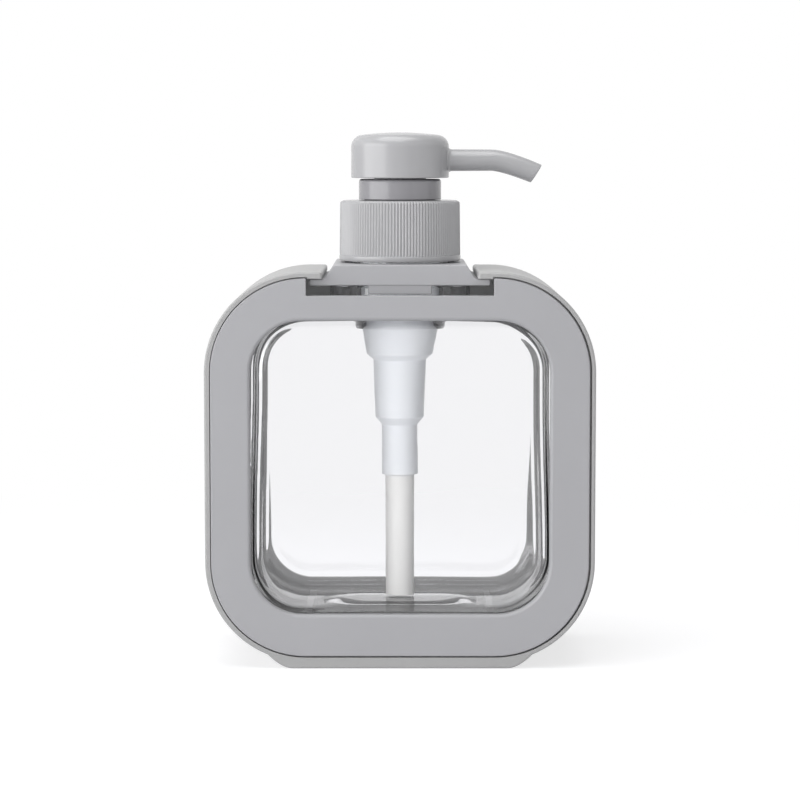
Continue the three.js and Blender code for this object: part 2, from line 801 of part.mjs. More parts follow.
// Rings along the nozzle, from the pump's axis to the slanting cut at its tip
function nozzleRings(rootRadius, tipRadius, pastTip) {
  const bend = new THREE.QuadraticBezierCurve(
    at(nozzleStraight, nozzleHeight),
    at(nozzleReach - nozzleDrop / Math.tan(nozzleTipAngle), nozzleHeight),
    at(nozzleReach, nozzleHeight - nozzleDrop),
  );
  const places = [{ point: at(0, nozzleHeight), angle: 0 }];
  const steps = 2 * roundSteps;
  for (let i = 0; i <= steps; i += 1) {
    const tangent = bend.getTangent(i / steps);
    places.push({ point: bend.getPoint(i / steps), angle: Math.atan2(-tangent.y, tangent.x) });
  }
  const tip = places[places.length - 1];
  tip.angle += nozzleCutAngle;
  if (pastTip) {
    const beyond = at(Math.cos(nozzleTipAngle), -Math.sin(nozzleTipAngle)).multiplyScalar(pastTip);
    places.push({ point: tip.point.clone().add(beyond), angle: tip.angle });
  }
  return places.map(({ point, angle }) => {
    const radius = THREE.MathUtils.lerp(rootRadius, tipRadius, Math.min(1, point.x / nozzleReach));
    const ring = [];
    for (let side = 0; side < tubeSides; side += 1) {
      const turn = (2 * Math.PI * side) / tubeSides;
      const across = radius * Math.sin(turn);
      const up = radius * Math.cos(turn);
      ring.push(new THREE.Vector3(point.x + up * Math.sin(angle), across, point.y + up * Math.cos(angle)));
    }
    return ring;
  });
}

function buildSpout() {
  const threadBottom = hubBottom + lockPitch / 2;
  return cylinder(hubRadius, hubBottom, hubTop)
    .add(threadRidge(hubRadius, lockThreadHeight, lockPitch, lockTurns, threadBottom))
    .add(skinned(nozzleRings(nozzleRootRadius, nozzleTipRadius, 0)))
    .add(headWalls().intersect(slotBlock(restGap)))
    .subtract(cylinder(stemRadius + slideGap, hubBottom - overshoot, hubCeiling))
    .subtract(cylinder(stemBore, hubCeiling - overshoot, nozzleHeight))
    .subtract(skinned(nozzleRings(nozzleBore, nozzleBore, overshoot)));
}

// Finishes
const framePlastic = { color: 0xb3b3b7, roughness: 0.42, metalness: 0 };
const glossPlastic = { color: 0xa4a4a8, roughness: 0.25, metalness: 0 };
const clearPlastic = { color: 0xf2f4f5, roughness: 0.05, metalness: 0, transparent: true, opacity: 0.3 };
const milkyPlastic = { color: 0xe6e9ee, roughness: 0.4, metalness: 0 };
const softPlastic = { color: 0xd9dadd, roughness: 0.6, metalness: 0 };
const steel = { color: 0xc4c6c8, roughness: 0.25, metalness: 1 };

const pieces = [
  ['rear_frame', buildRearFrame(), framePlastic],
  ['front_ring', buildFrontRing(), framePlastic],
  ['neck_bridge', buildNeckBridge(), framePlastic],
  ['bottle', buildBottle(), clearPlastic],
  ['closure', buildClosure(), framePlastic],
  ['neck_gasket', buildNeckGasket(), softPlastic],
  ['pump_housing', buildPumpHousing(), milkyPlastic],
  ['dip_tube', buildDipTube(), milkyPlastic],
  ['ball_cage', buildBallCage(), milkyPlastic],
  ['inlet_ball', buildBall(inletBallRadius, inletBallHeight), steel],
  ['return_spring', buildReturnSpring(), steel],
  ['piston', buildPiston(), softPlastic],
  ['stem_plug', buildStemPlug(), milkyPlastic],
  ['stem', buildStem(), milkyPlastic],
  ['outlet_ball', buildBall(outletBallRadius, outletBallHeight), steel],
  ['stem_wiper', buildStemWiper(), softPlastic],
  ['lock_collar', buildLockCollar(), glossPlastic],
  ['head_shell', buildHeadShell(), framePlastic],
  ['spout', buildSpout(), framePlastic],
];

const dispenser = new THREE.Group();
for (const [name, body, finish] of pieces) {
  const mesh = new THREE.Mesh(geometryOf(body), new THREE.MeshStandardMaterial(finish));
  mesh.name = name;
  dispenser.add(mesh);
}

export default dispenser;
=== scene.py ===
import math

import bmesh
import bpy
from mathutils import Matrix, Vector


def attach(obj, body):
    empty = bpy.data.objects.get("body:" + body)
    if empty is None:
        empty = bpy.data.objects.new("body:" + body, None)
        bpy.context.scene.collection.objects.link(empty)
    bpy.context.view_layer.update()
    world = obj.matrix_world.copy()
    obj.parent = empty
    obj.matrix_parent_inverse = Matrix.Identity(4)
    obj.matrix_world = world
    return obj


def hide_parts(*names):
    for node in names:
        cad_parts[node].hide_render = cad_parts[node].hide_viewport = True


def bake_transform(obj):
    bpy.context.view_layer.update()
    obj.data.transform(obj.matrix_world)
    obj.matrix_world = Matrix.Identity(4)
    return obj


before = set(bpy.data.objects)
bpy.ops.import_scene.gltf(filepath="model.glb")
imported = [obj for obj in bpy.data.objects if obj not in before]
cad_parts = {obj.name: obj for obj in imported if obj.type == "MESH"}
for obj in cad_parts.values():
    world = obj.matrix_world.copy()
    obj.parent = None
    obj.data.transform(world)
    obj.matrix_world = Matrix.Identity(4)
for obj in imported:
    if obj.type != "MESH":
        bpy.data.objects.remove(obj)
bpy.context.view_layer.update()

scene = bpy.context.scene
scene.view_settings.view_transform = "Standard"
mm = 0.001  # the pieces' sizes are in millimetres, and the studio's in metres
overshoot = 1  # how far a cutter runs past what it cuts
onFace = 0.01  # an edge this near a face lies on it


# camera, level with the press head and tilted a little down
viewpoint = {"eye": (0, -800, 150.7), "tilt": 5.3, "lens": 120, "sensor": 36}
camera = bpy.data.objects.new("camera", bpy.data.cameras.new("camera"))
camera.data.lens = viewpoint["lens"]
camera.data.sensor_width = viewpoint["sensor"]
camera.location = Vector(viewpoint["eye"]) * mm
camera.rotation_euler = (math.radians(90 - viewpoint["tilt"]), 0, 0)
scene.collection.objects.link(camera)
scene.camera = camera
print("camera placed")


def hexToLinear(hexText):
    parts = [int(hexText[i:i + 2], 16) / 255 for i in (1, 3, 5)]
    linear = [p / 12.92 if p <= 0.04045 else ((p + 0.055) / 1.055) ** 2.4 for p in parts]
    return (*linear, 1)


def addNode(tree, kind, inputs=None, **settings):
    node = tree.nodes.new(kind)
    for name, value in settings.items():
        setattr(node, name, value)
    for name, value in (inputs or {}).items():
        if isinstance(value, bpy.types.NodeSocket):
            tree.links.new(value, node.inputs[name])
        else:
            node.inputs[name].default_value = value
    return node


def startMaterial(name):
    material = bpy.data.materials.new(name)
    material.use_nodes = True
    material.node_tree.nodes.clear()
    return material, material.node_tree


# a closed outline with its corners rounded; each corner is (a, b, radius)
def roundCorners(corners, steps=6):
    sideShare = 0.49  # the most of a side that one rounding takes
    points = []
    for index, (a, b, radius) in enumerate(corners):
        if radius == 0:
            points.append((a, b))
            continue
        here = Vector((a, b))
        back = Vector(corners[index - 1][:2]) - here
        ahead = Vector(corners[(index + 1) % len(corners)][:2]) - here
        half = back.angle(ahead) / 2
        reach = min(radius / math.tan(half), sideShare * back.length, sideShare * ahead.length)
        radius = reach * math.tan(half)
        middle = (back.normalized() + ahead.normalized()).normalized()
        centre = here + middle * (radius / math.sin(half))
        start = here + back.normalized() * reach - centre
        end = here + ahead.normalized() * reach - centre
        first = math.atan2(start.y, start.x)
        swing = (math.atan2(end.y, end.x) - first + math.pi) % (2 * math.pi) - math.pi
        for step in range(steps + 1):
            turn = first + swing * step / steps
            points.append((centre.x + radius * math.cos(turn), centre.y + radius * math.sin(turn)))
    return points


# a skin over rings with equal numbers of points, closed on itself, capped or left to meet the axis
def skinRings(name, rings, loop=False, capped=True):
    weld = 1e-7  # metres
    work = bmesh.new()
    rows = [[work.verts.new(Vector(point) * mm) for point in ring] for ring in rings]
    pairs = list(zip(rows, rows[1:]))
    if loop:
        pairs.append((rows[-1], rows[0]))
    for near, far in pairs:
        for i in range(len(near)):
            j = (i + 1) % len(near)
            work.faces.new((near[i], near[j], far[j], far[i]))
    if capped and not loop:
        work.faces.new(rows[0][::-1])
        work.faces.new(rows[-1])
    bmesh.ops.remove_doubles(work, verts=work.verts, dist=weld)
    bmesh.ops.recalc_face_normals(work, faces=work.faces)
    data = bpy.data.meshes.new(name)
    work.to_mesh(data)
    work.free()
    piece = bpy.data.objects.new(name, data)
    scene.collection.objects.link(piece)
    return piece


# a profile of (radius, height) points turned round the pump's axis; one that starts on the axis ends on it
def turned(name, profile, sides=96):
    rings = []
    for radius, height in profile:
        ring = []
        for side in range(sides):
            turn = 2 * math.pi * side / sides
            ring.append((radius * math.cos(turn), radius * math.sin(turn), height))
        rings.append(ring)
    return skinRings(name, rings, loop=profile[0][0] > 0, capped=False)


# a solid cylinder on the pump's axis
def rod(name, radius, low, high, sides=96):
    return turned(name, [(0, low), (radius, low), (radius, high), (0, high)], sides)


# an outline of (x, z) points drawn through the depth
def throughDepth(name, outline, yFrom, yTo):
    return skinRings(name, [[(x, y, z) for x, z in outline] for y in (yFrom, yTo)])


def block(name, low, high):
    outline = [(low[0], low[2]), (high[0], low[2]), (high[0], high[2]), (low[0], high[2])]
    return throughDepth(name, outline, low[1], high[1])


# every thread's section: how deep its root sits in the wall, its brow's share of the reach, half its height
# at the root, brow and crest as shares of the pitch, and how many run-outs make a turn
threadForm = {"sunk": 0.4, "browShare": 0.8, "halves": (0.3, 0.16, 0.08), "runOuts": 6, "steps": 72}


# a screw thread's ridge on a wall; reach is positive outwards and negative inwards
def threadRidge(wall, reach, pitch, turns, bottom):
    rootHalf, browHalf, crestHalf = threadForm["halves"]
    runOuts = threadForm["runOuts"]
    steps = threadForm["steps"]
    root = wall - math.copysign(threadForm["sunk"], reach)
    rings = []
    count = round(steps * turns)
    for i in range(count + 1):
        turn = 2 * math.pi * i / steps
        rise = min(1, (i + 1) * runOuts / steps, (count - i + 1) * runOuts / steps)
        crest = wall + reach * math.sin(rise * math.pi / 2)
        brow = wall + threadForm["browShare"] * reach * math.sin(rise * math.pi / 2)
        section = [(root, -rootHalf), (brow, -browHalf), (crest, -crestHalf),
                   (crest, crestHalf), (brow, browHalf), (root, rootHalf)]
        ring = []
        for radius, offset in section:
            height = bottom + pitch * (i / steps + offset)
            ring.append((radius * math.cos(turn), radius * math.sin(turn), height))
        rings.append(ring)
    return skinRings("thread", rings)


def combine(piece, other, operation):
    change = piece.modifiers.new("combine", "BOOLEAN")
    change.operation = operation
    change.solver = "EXACT"
    change.object = other
    graph = bpy.context.evaluated_depsgraph_get()
    shaped = bpy.data.meshes.new_from_object(piece.evaluated_get(graph))
    piece.modifiers.clear()
    piece.data = shaped
    bpy.data.objects.remove(other)
    return piece


# rounds the creases whose middle, in millimetres, is one that pick chooses
def soften(piece, width, pick):
    creaseAngle = 0.6  # radians; flatter edges stay as they are
    work = bmesh.new()
    work.from_mesh(piece.data)
    chosen = []
    for edge in work.edges:
        middle = (edge.verts[0].co + edge.verts[1].co) / (2 * mm)
        if len(edge.link_faces) == 2 and edge.calc_face_angle() > creaseAngle and pick(*middle):
            chosen.append(edge)
    bmesh.ops.bevel(work, geom=chosen, offset=width * mm, segments=3, profile=0.5,
                    affect="EDGES", clamp_overlap=True)
    work.to_mesh(piece.data)
    work.free()


def dress(piece, node, body, finish, crease=40, even=True):
    piece.data.materials.clear()
    piece.data.materials.append(finish)
    piece.data.shade_smooth()
    piece.data.set_sharp_from_angle(angle=math.radians(crease))
    if even:
        normals = piece.modifiers.new("evenNormals", "WEIGHTED_NORMAL")
        normals.keep_sharp = True
    if body:
        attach(piece, body)
    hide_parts(node)
    print(piece.name, "built,", len(piece.data.vertices), "points")


noiseSpan = {"From Min": 0.3, "From Max": 0.7}  # most of a noise's values lie between these

# grey ABS moulded against a finely eroded tool: an even satin skin, with broad soft highlights
satinGrey = {"name": "absMouldedSatin", "colours": ("#9b9b9e", "#a1a1a4"), "roughness": (0.36, 0.44),
             "ior": 1.53, "cloudSize": 35, "grainSize": 0.5, "grainHeight": 0.002, "grainStrength": 0.5}
# the same skin in a warmer batch of grey, as the hoop has beside the cooler ring
warmGrey = {**satinGrey, "name": "absMouldedSatinWarm", "colours": ("#9a9a9a", "#a0a0a0")}
# grey ABS against a polished tool: smooth, with clear reflections; its grey is set darker than the rest as
# painted shade, for the shade in the collar's recess under the press head and the dark surroundings it
# reflects
polishedGreyPaintedShade = {"name": "absMouldedPolishedPaintedShade", "colours": ("#8a898d", "#908f93"), "roughness": (0.21, 0.22),
                "ior": 1.53, "cloudSize": 20, "grainSize": 0.8, "grainHeight": 0.0003, "grainStrength": 0.5}
# the pump's outer mouldings, against a lightly polished tool: a soft shine with gentle highlights
shinyGrey = {"name": "absMouldedSoftShine", "colours": ("#9d9d9f", "#a2a2a4"), "roughness": (0.21, 0.25),
             "ior": 1.53, "cloudSize": 20, "grainSize": 0.6, "grainHeight": 0.0006, "grainStrength": 0.5}


def greyPlastic(look):
    material, tree = startMaterial(look["name"])
    place = addNode(tree, "ShaderNodeTexCoord").outputs["Object"]
    clouds = addNode(tree, "ShaderNodeTexNoise",
                     {"Vector": place, "Scale": 1 / (look["cloudSize"] * mm), "Detail": 3})
    dark, light = (hexToLinear(colour) for colour in look["colours"])
    tone = addNode(tree, "ShaderNodeMix", {0: clouds.outputs["Fac"], 6: dark, 7: light}, data_type="RGBA")
    # the skin's pits are about 0.05 mm wide; they are drawn coarser here so that they show
    grain = addNode(tree, "ShaderNodeTexNoise",
                    {"Vector": place, "Scale": 1 / (look["grainSize"] * mm), "Detail": 2})
    sheen = addNode(tree, "ShaderNodeMapRange",
                    {"Value": grain.outputs["Fac"], **noiseSpan,
                     "To Min": look["roughness"][0], "To Max": look["roughness"][1]})
    relief = addNode(tree, "ShaderNodeBump",
                     {"Height": grain.outputs["Fac"], "Strength": look["grainStrength"],
                      "Distance": look["grainHeight"] * mm})
    shader = addNode(tree, "ShaderNodeBsdfPrincipled",
                     {"Base Color": tone.outputs[2], "Roughness": sheen.outputs["Result"],
                      "Normal": relief.outputs["Normal"], "IOR": look["ior"]})
    addNode(tree, "ShaderNodeOutputMaterial", {"Surface": shader.outputs["BSDF"]})
    return material


satin = greyPlastic(satinGrey)
warm = greyPlastic(warmGrey)
polished = greyPlastic(polishedGreyPaintedShade)
shiny = greyPlastic(shinyGrey)

# clear PETG, blow moulded: bright and colourless, with slow waves in its wall that bend what shows through
clearWall = {"name": "petgBlowMouldedClear", "colour": "#f9f9fa", "ior": 1.57,
             "roughness": (0.005, 0.03), "hazeSpan": (0.35, 0.75),
             "waveSize": 16, "waveHeight": 0.14, "waveStrength": 0.6, "lampShare": "#ffffff"}
clear, tree = startMaterial(clearWall["name"])
place = addNode(tree, "ShaderNodeTexCoord").outputs["Object"]
waves = addNode(tree, "ShaderNodeTexNoise",
                {"Vector": place, "Scale": 1 / (clearWall["waveSize"] * mm), "Detail": 1})
haze = addNode(tree, "ShaderNodeMapRange",
               {"Value": waves.outputs["Fac"],
                "From Min": clearWall["hazeSpan"][0], "From Max": clearWall["hazeSpan"][1],
                "To Min": clearWall["roughness"][0], "To Max": clearWall["roughness"][1]})
wallRelief = addNode(tree, "ShaderNodeBump",
                     {"Height": waves.outputs["Fac"], "Strength": clearWall["waveStrength"],
                      "Distance": clearWall["waveHeight"] * mm})
shader = addNode(tree, "ShaderNodeBsdfPrincipled",
                 {"Base Color": hexToLinear(clearWall["colour"]), "Transmission Weight": 1,
                  "IOR": clearWall["ior"], "Roughness": haze.outputs["Result"],
                  "Normal": wallRelief.outputs["Normal"]})
# light from lamps and from pale surfaces goes straight through the wall onto the pump
rays = addNode(tree, "ShaderNodeLightPath")
through = addNode(tree, "ShaderNodeBsdfTransparent", {"Color": hexToLinear(clearWall["lampShare"])})
wall = shader
for kind in ("Is Diffuse Ray", "Is Shadow Ray"):
    wall = addNode(tree, "ShaderNodeMixShader",
                   {0: rays.outputs[kind], 1: wall.outputs[0], 2: through.outputs["BSDF"]})
addNode(tree, "ShaderNodeOutputMaterial", {"Surface": wall.outputs[0]})

# natural polypropylene, moulded unpigmented: milky white and faintly blue, with a soft skin
milkyLook = {"name": "polypropyleneMouldedNatural", "colours": ("#f6f9fe", "#f9fcff"),
             "roughness": (0.3, 0.4), "ior": 1.49, "cloudSize": 8, "glow": 0.05, "glowDepth": 2}
# natural polyethylene, extruded: a waxy white tube, warmer than the housing
waxyLook = {"name": "polyethyleneExtrudedNatural", "colours": ("#fbfaf8", "#fdfdfb"),
            "roughness": (0.32, 0.42), "ior": 1.51, "cloudSize": 6, "glow": 0.1, "glowDepth": 2}
# soft polyethylene seals, moulded: plain off-white with a dull skin
sealLook = {"name": "polyethyleneMouldedSeal", "colours": ("#d6d8da", "#dedfe1"),
            "roughness": (0.5, 0.6), "ior": 1.51, "cloudSize": 5, "glow": 0.15, "glowDepth": 1}


def milkyPlastic(look):
    material, tree = startMaterial(look["name"])
    place = addNode(tree, "ShaderNodeTexCoord").outputs["Object"]
    clouds = addNode(tree, "ShaderNodeTexNoise",
                     {"Vector": place, "Scale": 1 / (look["cloudSize"] * mm), "Detail": 2})
    dark, light = (hexToLinear(colour) for colour in look["colours"])
    tone = addNode(tree, "ShaderNodeMix", {0: clouds.outputs["Fac"], 6: dark, 7: light}, data_type="RGBA")
    sheen = addNode(tree, "ShaderNodeMapRange",
                    {"Value": clouds.outputs["Fac"], **noiseSpan,
                     "To Min": look["roughness"][0], "To Max": look["roughness"][1]})
    shader = addNode(tree, "ShaderNodeBsdfPrincipled",
                     {"Base Color": tone.outputs[2], "Roughness": sheen.outputs["Result"], "IOR": look["ior"],
                      "Subsurface Weight": look["glow"], "Subsurface Radius": (1, 1, 1),
                      "Subsurface Scale": look["glowDepth"] * mm})
    addNode(tree, "ShaderNodeOutputMaterial", {"Surface": shader.outputs["BSDF"]})
    return material


milky = milkyPlastic(milkyLook)
waxy = milkyPlastic(waxyLook)
sealing = milkyPlastic(sealLook)

# stainless steel, drawn to wire or lapped to a ball: bright, with fine scratches drawn coarse enough to show
steelLook = {"name": "stainlessSteelDrawn", "colour": "#c3c5c8", "roughness": (0.16, 0.3), "scratchSize": 0.4}
steel, tree = startMaterial(steelLook["name"])
place = addNode(tree, "ShaderNodeTexCoord").outputs["Object"]
scratches = addNode(tree, "ShaderNodeTexNoise",
                    {"Vector": place, "Scale": 1 / (steelLook["scratchSize"] * mm), "Detail": 3})
polish = addNode(tree, "ShaderNodeMapRange",
                 {"Value": scratches.outputs["Fac"], **noiseSpan,
                  "To Min": steelLook["roughness"][0], "To Max": steelLook["roughness"][1]})
shader = addNode(tree, "ShaderNodeBsdfPrincipled",
                 {"Base Color": hexToLinear(steelLook["colour"]), "Metallic": 1,
                  "Roughness": polish.outputs["Result"]})
addNode(tree, "ShaderNodeOutputMaterial", {"Surface": shader.outputs["BSDF"]})
print("materials made")


# rear frame: hoop, rear border with its window, foot, and two ribs that the bottle stands on
hoop = {
    "width": 114, "bottom": 1.9, "top": 116.2, "corner": 29.3, "cornerSteps": 28,
    "front": -28.5, "rear": 28.5, "wall": 1.9, "plateFront": 26.3, "window": 16.6,
    "frontRound": 0.6, "innerEdge": 0.25, "plateRound": 0.6, "windowEdge": 0.3, "windowLip": 1.7,
    "rearRound": 1.2, "footFlat": 31.5, "footBend": 34.8, "footEnd": 38.8, "footMeet": 4.08,
    "footInset": 0.02, "footSteps": 16, "footEndSteps": 12, "footRound": 0.6,
    "footBand": 0.5, "footSlack": 0.05,
    "lip": 1.35, "lipShift": 0.18, "seamFloor": -25.95, "seamEnd": 26.95,
    "restX": 27, "restHalf": 1, "restFront": -15.7, "restTop": 12.3,
    "notchHalf": 27.3, "notchFloor": 110.1, "notchFront": 25, "notchRear": 30,
    "mouthHalf": 22.5, "endRound": 0.9, "endCrisp": 0.45, "endUnder": 0.3, "endSteps": 8,
}


# the hoop's outline from its top right, clockwise; inset moves in the sides and endInset the top and bottom
def frameOutline(inset, endInset=None):
    endInset = inset if endInset is None else endInset
    corner = hoop["corner"] - max(inset, endInset)
    half = hoop["width"] / 2 - inset - corner
    low = hoop["bottom"] + endInset + corner
    high = hoop["top"] - endInset - corner
    steps = hoop["cornerSteps"]
    points = []
    for x, z, start in ((half, high, 90), (half, low, 0), (-half, low, -90), (-half, high, 180)):
        for step in range(steps + 1):
            turn = math.radians(start - 90 * step / steps)
            points.append((x + corner * math.cos(turn), z + corner * math.sin(turn)))
    return points


def frameSweep(name, section):
    rings = []
    for inset, endInset, y in section:
        rings.append([(x, y, z) for x, z in frameOutline(inset, endInset)])
    return skinRings(name, rings, loop=True)


section = roundCorners([
    (0, hoop["front"], hoop["frontRound"]), (hoop["wall"], hoop["front"], hoop["innerEdge"]),
    (hoop["wall"], hoop["plateFront"], hoop["plateRound"]),
    (hoop["window"], hoop["plateFront"], hoop["windowEdge"]),
    (hoop["window"], hoop["rear"], hoop["windowLip"]), (0, hoop["rear"], hoop["rearRound"]),
])
rearFrame = frameSweep("rearFrame", [(inset, inset, y) for inset, y in section])

# the foot, with its ends curving up into the hoop and its upper edge inside the hoop's wall
footOutline = []
for step in range(2 * hoop["footSteps"] + 1):
    x = hoop["footEnd"] * (1 - step / hoop["footSteps"])
    along = max(0, abs(x) - hoop["width"] / 2 + hoop["corner"])
    under = hoop["bottom"] + hoop["corner"] - math.sqrt(hoop["corner"] ** 2 - along ** 2)
    footOutline.append((x, under + hoop["wall"] / 2))
steps = hoop["footEndSteps"]
for side, order in ((-1, range(steps, -1, -1)), (1, range(steps + 1))):
    for step in order:
        t = step / steps
        x = (1 - t) ** 2 * hoop["footFlat"] + 2 * t * (1 - t) * hoop["footBend"] + t * t * hoop["footEnd"]
        footOutline.append((side * x, t * t * hoop["footMeet"]))
foot = throughDepth("foot", footOutline, hoop["front"] + hoop["footInset"], hoop["rear"] - hoop["footInset"])


# picks the lower edges of the foot's front and rear faces
def footRim(x, y, z):
    curve = hoop["footMeet"] * min(1, abs(x) / hoop["footEnd"]) ** 4
    return abs(y) > hoop["rear"] - hoop["footBand"] and z < curve + hoop["footSlack"]


soften(foot, hoop["footRound"], footRim)
combine(rearFrame, foot, "UNION")

# the rebate that the front ring lies in, left out over the hoop's two ends; the lip is thicker on the left
lipPath = [(x + hoop["lipShift"], z) for x, z in frameOutline(hoop["lip"])]
openPath = frameOutline(hoop["wall"] + overshoot)
paths = []
for path in (lipPath, openPath):
    paths.append([(hoop["seamEnd"], path[0][1]), *path, (-hoop["seamEnd"], path[-1][1])])
outer = hoop["front"] - overshoot
inner = hoop["seamFloor"]
rebate = []
for (lipX, lipZ), (openX, openZ) in zip(*paths):
    rebate.append([(lipX, outer, lipZ), (openX, outer, openZ), (openX, inner, openZ), (lipX, inner, lipZ)])
combine(rearFrame, skinRings("rebate", rebate), "DIFFERENCE")

# the two ribs, sunk into the hoop's floor and the rear border, and the notch in that border
for x in (-hoop["restX"], hoop["restX"]):
    low = (x - hoop["restHalf"], hoop["restFront"], hoop["bottom"] + hoop["wall"] / 2)
    high = (x + hoop["restHalf"], hoop["plateFront"] + overshoot, hoop["restTop"])
    combine(rearFrame, block("rest", low, high), "UNION")
underside = hoop["top"] - hoop["wall"]
low = (-hoop["notchHalf"], hoop["notchFront"], hoop["notchFloor"])
high = (hoop["notchHalf"], hoop["notchRear"], underside)
combine(rearFrame, block("rearNotch", low, high), "DIFFERENCE")


# how far a rounded edge of the hoop's ends has drawn back, this far from it
def endFlare(gap):
    back = hoop["endRound"] - min(max(gap, 0), hoop["endRound"])
    return hoop["endRound"] - math.sqrt(hoop["endRound"] ** 2 - back ** 2)


# places from one face of the hoop to the other, closer together near each, and one beyond each
def placesAcross(low, high, before, after):
    steps = hoop["endSteps"]
    bends = [hoop["endRound"] * (1 - math.cos(math.pi / 2 * step / steps)) for step in range(steps + 1)]
    fromLow = [low + bend for bend in bends]
    toHigh = [high - bend for bend in bends[::-1]]
    return [low - before, *fromLow, *toHigh, high + after]


# the gap between the hoop's ends, flaring over their edges
rings = []
for z in placesAcross(underside, hoop["top"], hoop["endUnder"], overshoot):
    away = min(z - underside + hoop["endCrisp"], hoop["top"] - z)
    halves = []
    for y in placesAcross(hoop["front"], hoop["rear"], overshoot, overshoot):
        drawn = math.hypot(endFlare(min(y - hoop["front"], hoop["rear"] - y)), endFlare(away))
        halves.append((hoop["mouthHalf"] + min(drawn, hoop["endRound"]), y))
    rings.append([(x, y, z) for x, y in halves] + [(-x, y, z) for x, y in halves[::-1]])
combine(rearFrame, skinRings("endGap", rings), "DIFFERENCE")
dress(rearFrame, "rear_frame", "frame", warm)

# front ring, let into the hoop
border = {"outer": 1.7, "window": 13.3, "endExtra": 0.8, "front": -28.5, "back": -26.3,
          "edgeRound": 0.4, "backEdge": 0.2, "windowEdge": 0.25, "windowLip": 1.7,
          "notchHalf": 27.3, "notchFloor": 109.4, "notchTop": 120, "notchFront": -30, "notchBack": -20,
          "notchRound": 0.3}
section = []
for inset, y in roundCorners([
    (border["outer"], border["front"], border["edgeRound"]),
    (border["outer"], border["back"], border["backEdge"]),
    (border["window"], border["back"], border["windowEdge"]),
    (border["window"], border["front"], border["windowLip"]),
]):
    share = (inset - border["outer"]) / (border["window"] - border["outer"])
    section.append((inset, inset + share * border["endExtra"], y))
frontRing = frameSweep("frontRing", section)
low = (-border["notchHalf"], border["notchFront"], border["notchFloor"])
high = (border["notchHalf"], border["notchBack"], border["notchTop"])
combine(frontRing, block("notch", low, high), "DIFFERENCE")


# picks the edges of the notch's floor and ends
def notchRim(x, y, z):
    onFloor = abs(z - border["notchFloor"]) < onFace
    onEnd = abs(abs(x) - border["notchHalf"]) < onFace and z > border["notchFloor"] - overshoot
    return onFloor or onEnd


soften(frontRing, border["notchRound"], notchRim)
dress(frontRing, "front_ring", "frame", satin)

# bridge over the bottle's shoulder, with a lug under its front wall and one under its rear wall
saddle = {"top": 118.1, "topHalf": 19.5, "topRound": 1, "slopeFoot": 21.9, "slopeRound": 1.3,
          "tabTop": 114.1, "tabHalf": 26.3, "tabRound": 0.5, "under": 112.2, "underEdge": 0.3,
          "halfDepth": 25, "rimRound": 0.8, "wall": 2, "neckHole": 16.3, "cutFrom": 110, "cutTo": 120,
          "lugHalf": 9.25, "lugFoot": 109.6, "lugSetback": 0.4, "lugSunk": 0.9, "lugRound": 0.3}
rightSide = [
    (saddle["tabHalf"], saddle["under"], saddle["underEdge"]),
    (saddle["tabHalf"], saddle["tabTop"], saddle["tabRound"]),
    (saddle["slopeFoot"], saddle["tabTop"], saddle["slopeRound"]),
    (saddle["topHalf"], saddle["top"], saddle["topRound"]),
]
outline = roundCorners(rightSide + [(-x, z, radius) for x, z, radius in rightSide[::-1]])
neckBridge = throughDepth("neckBridge", outline, -saddle["halfDepth"], saddle["halfDepth"])
soften(neckBridge, saddle["rimRound"], lambda x, y, z: abs(abs(y) - saddle["halfDepth"]) < onFace)
hollowHalf = saddle["topHalf"] - saddle["wall"]
hollowDepth = saddle["halfDepth"] - saddle["wall"]
low = (-hollowHalf, -hollowDepth, saddle["cutFrom"])
high = (hollowHalf, hollowDepth, saddle["top"] - saddle["wall"])
combine(neckBridge, block("hollow", low, high), "DIFFERENCE")
combine(neckBridge, rod("neckHole", saddle["neckHole"], saddle["cutFrom"], saddle["cutTo"]), "DIFFERENCE")
for side in (-1, 1):
    near, far = sorted((side * hollowDepth, side * (saddle["halfDepth"] - saddle["lugSetback"])))
    low = (-saddle["lugHalf"], near, saddle["lugFoot"])
    high = (saddle["lugHalf"], far, saddle["under"] + saddle["lugSunk"])
    lug = block("lug", low, high)
    soften(lug, saddle["lugRound"], lambda x, y, z: z < saddle["under"])
    combine(neckBridge, lug, "UNION")
dress(neckBridge, "neck_bridge", "frame", satin)

# bottle: thick walls, a rounded body, a boss and a threaded neck
bottle = {
    "width": 93.4, "bottom": 12.5, "top": 106.2, "halfDepth": 26, "corner": 19, "wall": 2, "floor": 2.6,
    "edge": 8.6, "innerEdge": 6.3, "edgeSteps": 28, "cornerSteps": 20, "sideSteps": 14,
    "ripple": 0.18, "rippleCount": 14, "rippleDrift": ((3, 1.3), (7, 0.6)), "calmEnds": 0.8,
    "boss": 21, "bossFoot": 102, "bossTop": 112, "bossRound": 0.9, "sides": 128,
    "neck": 14.8, "neckTop": 131.9, "neckRound": 0.6, "rimRound": 0.4, "bore": 13,
    "thread": {"reach": 1, "pitch": 4, "turns": 1.6, "bottom": 122.7},
    "rootDrop": 5.8, "rootFlare": 8, "rootCurve": 0.55, "rootSteps": 24,
    "pushHeight": 1.3, "pushHalf": (24, 17), "pushCorner": 13, "pushSlope": 7, "pushSteps": 20,
    "pushSink": 0.06,
}


